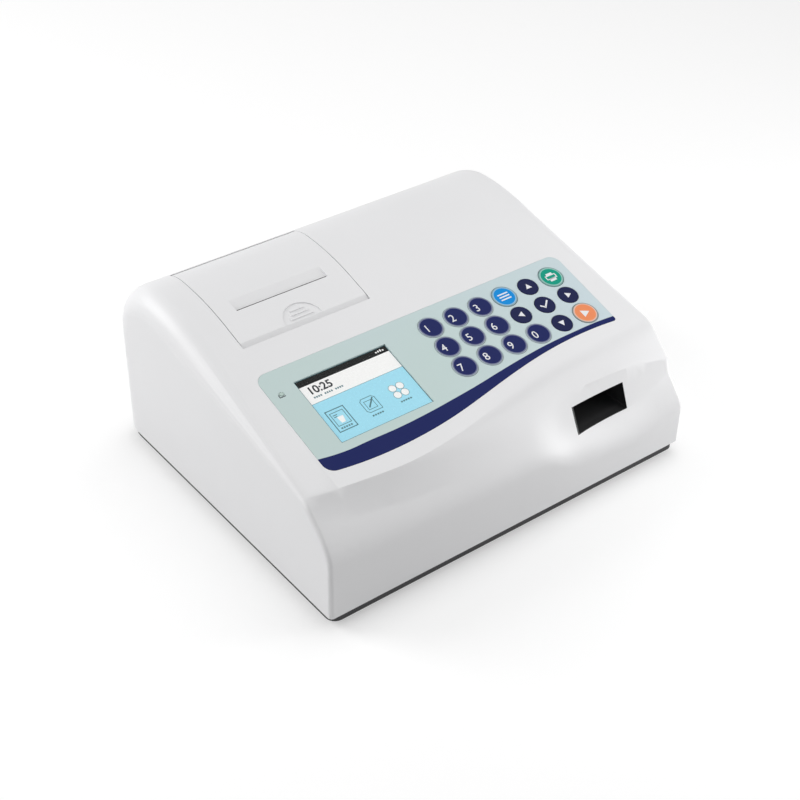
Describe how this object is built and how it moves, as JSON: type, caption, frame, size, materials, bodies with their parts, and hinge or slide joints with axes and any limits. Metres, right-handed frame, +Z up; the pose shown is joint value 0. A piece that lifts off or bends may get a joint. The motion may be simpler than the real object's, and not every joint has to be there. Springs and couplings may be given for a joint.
{
  "type": "urine analyzer",
  "caption": "Desktop urine strip analyzer with a sloping moulded case, wave front, membrane keypad, colour display, roll printer under a hinged door and a sliding strip tray.",
  "frame": {"origin": "on the table under the middle of the unit, whose rear sockets stand out 4.35 mm behind the case", "axes": "+Z up, +X to the right seen from the front, +Y to the back, so the front faces -Y"},
  "size_m": [0.25, 0.2144, 0.1106],
  "materials": {
    "white_case": "satin moulded",
    "black_base": "satin moulded",
    "foot_rubber": "matt",
    "screw_steel": "zinc plated",
    "panel_print": "printed film, satin",
    "spacer_film": "clear film",
    "contact_film": "printed film",
    "clear_window": "polished",
    "display": "cell and tinplate frame",
    "circuit_board": "solder mask",
    "lamp_lens": "translucent",
    "navy_key": "printed film, satin",
    "blue_key": "printed film, satin",
    "green_key": "printed film, satin",
    "orange_key": "printed film, satin",
    "grey_mould": "satin moulded",
    "black_mould": "matt moulded",
    "paper": "thermal paper",
    "card_core": "card tube",
    "frame_steel": "zinc plated sheet",
    "head_ceramic": "glazed ceramic on metal",
    "platen_rubber": "ground rubber on steel",
    "gear_plastic": "moulded",
    "motor_steel": "drawn can",
    "tray_white": "satin moulded",
    "white_tile": "glazed",
    "chip_black": "moulded"
  },
  "bodies": {
    "housing": {"top_cover": "white_case", "base_tray": "black_base", "rubber_feet": "foot_rubber", "case_screws": "screw_steel", "membrane_overlay": "panel_print", "keypad_spacer": "spacer_film", "keypad_circuit": "contact_film", "display_window": "clear_window", "display_module": "display", "display_board": "circuit_board", "status_lamp": "lamp_lens", "door_hinge_pins": "screw_steel", "paper_bay": "grey_mould", "printer_frame": "frame_steel", "print_head": "head_ceramic", "feed_motor": "motor_steel", "port_sleeve": "black_mould", "tray_guide": "grey_mould", "tray_motor": "motor_steel", "optics_head": "black_mould", "optics_bracket": "frame_steel", "main_board": "circuit_board", "board_parts": "chip_black", "board_screws": "screw_steel", "rear_panel": "black_mould", "rear_screws": "screw_steel", "switch_housing": "black_mould", "power_jack": "black_mould", "serial_port": "frame_steel"},
    "printer_door": {"printer_door": "white_case"},
    "roll": {"roll_spindle": "grey_mould", "roll_core": "card_core", "paper_roll": "paper"},
    "platen": {"platen_roller": "platen_rubber", "platen_gear": "gear_plastic"},
    "idler": {"idler_gear": "gear_plastic"},
    "feed_drive": {"feed_pinion": "gear_plastic"},
    "tray": {"strip_tray": "tray_white", "calibration_tile": "white_tile", "tray_rack": "gear_plastic"},
    "tray_drive": {"tray_pinion": "gear_plastic"},
    "rocker": {"power_rocker": "black_mould"},
    "key_1": {"key_1": "navy_key"},
    "key_2": {"key_2": "navy_key"},
    "key_3": {"key_3": "navy_key"},
    "menu_key": {"menu_key": "blue_key"},
    "up_key": {"up_key": "navy_key"},
    "print_key": {"print_key": "green_key"},
    "key_4": {"key_4": "navy_key"},
    "key_5": {"key_5": "navy_key"},
    "key_6": {"key_6": "navy_key"},
    "left_key": {"left_key": "navy_key"},
    "ok_key": {"ok_key": "navy_key"},
    "right_key": {"right_key": "navy_key"},
    "key_7": {"key_7": "navy_key"},
    "key_8": {"key_8": "navy_key"},
    "key_9": {"key_9": "navy_key"},
    "key_0": {"key_0": "navy_key"},
    "down_key": {"down_key": "navy_key"},
    "start_key": {"start_key": "orange_key"}
  },
  "joints": [
    {"name": "door_hinge", "type": "hinge", "parent": "housing", "child": "printer_door", "pos_m": [-0.05575, 0.07842, 0.10577], "axis": [-1, 0, 0], "range_deg": [0, 100]},
    {"name": "roll_spin", "type": "hinge", "parent": "housing", "child": "roll", "pos_m": [-0.05575, 0.06132, 0.0765], "axis": [1, 0, 0], "continuous": true},
    {"name": "platen_spin", "type": "hinge", "parent": "housing", "child": "platen", "pos_m": [-0.05575, 0.02882, 0.095], "axis": [1, 0, 0], "continuous": true},
    {"name": "idler_spin", "type": "hinge", "parent": "housing", "child": "idler", "pos_m": [-0.05575, 0.02411, 0.08203], "axis": [1, 0, 0], "continuous": true},
    {"name": "feed_drive_spin", "type": "hinge", "parent": "housing", "child": "feed_drive", "pos_m": [-0.05575, 0.03444, 0.07721], "axis": [1, 0, 0], "continuous": true},
    {"name": "tray_slide", "type": "slide", "parent": "housing", "child": "tray", "axis": [0, -1, 0], "range_m": [0, 0.09]},
    {"name": "tray_drive_spin", "type": "hinge", "parent": "housing", "child": "tray_drive", "pos_m": [0.0478, -0.03118, 0.0428], "axis": [0, 0, -1], "range_deg": [-5, 745]},
    {"name": "power_rocker_tilt", "type": "hinge", "parent": "housing", "child": "rocker", "pos_m": [-0.047, 0.09917, 0.041], "axis": [-1, 0, 0], "range_deg": [0, 16]},
    {"name": "key_1_press", "type": "slide", "parent": "housing", "child": "key_1", "axis": [0, 0.2798, -0.96], "range_m": [0, 0.0003], "stiffness_N_per_m": 400, "springref_m": -0.0003},
    {"name": "key_2_press", "type": "slide", "parent": "housing", "child": "key_2", "axis": [0, 0.2798, -0.96], "range_m": [0, 0.0003], "stiffness_N_per_m": 400, "springref_m": -0.0003},
    {"name": "key_3_press", "type": "slide", "parent": "housing", "child": "key_3", "axis": [0, 0.2798, -0.96], "range_m": [0, 0.0003], "stiffness_N_per_m": 400, "springref_m": -0.0003},
    {"name": "menu_key_press", "type": "slide", "parent": "housing", "child": "menu_key", "axis": [0, 0.2798, -0.96], "range_m": [0, 0.0003], "stiffness_N_per_m": 400, "springref_m": -0.0003},
    {"name": "up_key_press", "type": "slide", "parent": "housing", "child": "up_key", "axis": [0, 0.2798, -0.96], "range_m": [0, 0.0003], "stiffness_N_per_m": 400, "springref_m": -0.0003},
    {"name": "print_key_press", "type": "slide", "parent": "housing", "child": "print_key", "axis": [0, 0.2798, -0.96], "range_m": [0, 0.0003], "stiffness_N_per_m": 400, "springref_m": -0.0003},
    {"name": "key_4_press", "type": "slide", "parent": "housing", "child": "key_4", "axis": [0, 0.2798, -0.96], "range_m": [0, 0.0003], "stiffness_N_per_m": 400, "springref_m": -0.0003},
    {"name": "key_5_press", "type": "slide", "parent": "housing", "child": "key_5", "axis": [0, 0.2798, -0.96], "range_m": [0, 0.0003], "stiffness_N_per_m": 400, "springref_m": -0.0003},
    {"name": "key_6_press", "type": "slide", "parent": "housing", "child": "key_6", "axis": [0, 0.2798, -0.96], "range_m": [0, 0.0003], "stiffness_N_per_m": 400, "springref_m": -0.0003},
    {"name": "left_key_press", "type": "slide", "parent": "housing", "child": "left_key", "axis": [0, 0.2798, -0.96], "range_m": [0, 0.0003], "stiffness_N_per_m": 400, "springref_m": -0.0003},
    {"name": "ok_key_press", "type": "slide", "parent": "housing", "child": "ok_key", "axis": [0, 0.2798, -0.96], "range_m": [0, 0.0003], "stiffness_N_per_m": 400, "springref_m": -0.0003},
    {"name": "right_key_press", "type": "slide", "parent": "housing", "child": "right_key", "axis": [0, 0.2798, -0.96], "range_m": [0, 0.0003], "stiffness_N_per_m": 400, "springref_m": -0.0003},
    {"name": "key_7_press", "type": "slide", "parent": "housing", "child": "key_7", "axis": [0, 0.2798, -0.96], "range_m": [0, 0.0003], "stiffness_N_per_m": 400, "springref_m": -0.0003},
    {"name": "key_8_press", "type": "slide", "parent": "housing", "child": "key_8", "axis": [0, 0.2798, -0.96], "range_m": [0, 0.0003], "stiffness_N_per_m": 400, "springref_m": -0.0003},
    {"name": "key_9_press", "type": "slide", "parent": "housing", "child": "key_9", "axis": [0, 0.2798, -0.96], "range_m": [0, 0.0003], "stiffness_N_per_m": 400, "springref_m": -0.0003},
    {"name": "key_0_press", "type": "slide", "parent": "housing", "child": "key_0", "axis": [0, 0.2798, -0.96], "range_m": [0, 0.0003], "stiffness_N_per_m": 400, "springref_m": -0.0003},
    {"name": "down_key_press", "type": "slide", "parent": "housing", "child": "down_key", "axis": [0, 0.2798, -0.96], "range_m": [0, 0.0003], "stiffness_N_per_m": 400, "springref_m": -0.0003},
    {"name": "start_key_press", "type": "slide", "parent": "housing", "child": "start_key", "axis": [0, 0.2798, -0.96], "range_m": [0, 0.0003], "stiffness_N_per_m": 400, "springref_m": -0.0003}
  ],
  "couplings": [
    {"joint": "idler_spin", "follows": "platen_spin", "ratio": -0.76923},
    {"joint": "feed_drive_spin", "follows": "platen_spin", "ratio": 1.6667},
    {"joint": "tray_drive_spin", "follows": "tray_slide", "rad_per_m": 142.86}
  ]
}
